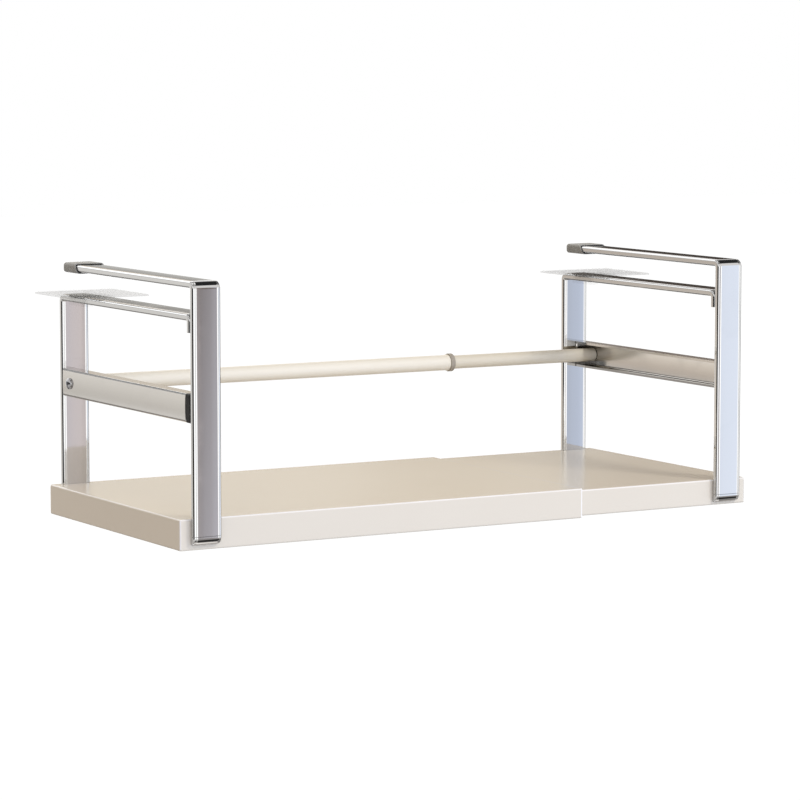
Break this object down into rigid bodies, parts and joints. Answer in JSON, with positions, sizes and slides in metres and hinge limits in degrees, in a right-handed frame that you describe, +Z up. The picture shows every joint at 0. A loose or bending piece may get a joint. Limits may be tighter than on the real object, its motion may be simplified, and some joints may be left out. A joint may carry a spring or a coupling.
{
  "type": "expandable hanging shelf",
  "caption": "Hanging shelf for the underside of a cabinet board: nested sliding decks on bent strip hangers with hooked upper arms and a telescopic guard rod.",
  "frame": {"origin": "under the middle of the shelf at its pictured width, on the plane of the outer deck's underside", "axes": "+X along the shelf from the outer deck to the inner deck, +Y from the front to the back, +Z up"},
  "size_m": [0.58, 0.2584, 0.2164],
  "materials": {
    "cream_paint": "satin powder coat",
    "cream_rod": "satin powder coat",
    "polished_steel": "polished",
    "satin_steel": "fine satin",
    "zinc_steel": "bright plated",
    "grey_plastic": "soft matte",
    "black_plastic": "matte",
    "white_nylon": "matte",
    "clear_plastic": "clear moulded",
    "clear_gel": "clear adhesive film"
  },
  "bodies": {
    "left_half": {"outer_deck": "cream_paint", "left_front_hanger": "polished_steel", "left_rear_hanger": "polished_steel", "left_foot_plug": "polished_steel", "left_arm_cap": "grey_plastic", "left_side_rail": "satin_steel", "left_rail_block": "black_plastic", "left_rod_bolt": "zinc_steel", "left_rod_insert": "zinc_steel", "left_front_deck_screw_1": "zinc_steel", "left_front_deck_screw_2": "zinc_steel", "left_rear_deck_screw_1": "zinc_steel", "left_rear_deck_screw_2": "zinc_steel", "left_tab_screw": "zinc_steel", "left_rail_front_screw": "zinc_steel", "left_rail_rear_screw": "zinc_steel", "rod_outer_tube": "cream_rod", "rod_collar": "grey_plastic"},
    "right_half": {"inner_deck": "cream_paint", "right_front_hanger": "polished_steel", "right_rear_hanger": "polished_steel", "right_foot_plug": "polished_steel", "right_arm_cap": "grey_plastic", "right_side_rail": "satin_steel", "right_rail_block": "black_plastic", "right_rod_bolt": "zinc_steel", "right_rod_insert": "zinc_steel", "right_front_deck_screw_1": "zinc_steel", "right_front_deck_screw_2": "zinc_steel", "right_rear_deck_screw_1": "zinc_steel", "right_rear_deck_screw_2": "zinc_steel", "right_tab_screw": "zinc_steel", "right_rail_front_screw": "zinc_steel", "right_rail_rear_screw": "zinc_steel", "rod_inner_tube": "cream_rod", "rod_bush": "white_nylon"},
    "left_anchor": {"left_anchor_plate": "clear_plastic", "left_adhesive_pad": "clear_gel"},
    "right_anchor": {"right_anchor_plate": "clear_plastic", "right_adhesive_pad": "clear_gel"}
  },
  "joints": [
    {"name": "width_slide", "type": "slide", "parent": "left_half", "child": "right_half", "axis": [1, 0, 0], "range_m": [-0.134, 0.1]},
    {"name": "left_anchor_slide", "type": "slide", "parent": "left_half", "child": "left_anchor", "axis": [0, 1, 0], "range_m": [-0.165, 0.012]},
    {"name": "right_anchor_slide", "type": "slide", "parent": "right_half", "child": "right_anchor", "axis": [0, 1, 0], "range_m": [-0.163, 0.012]}
  ]
}
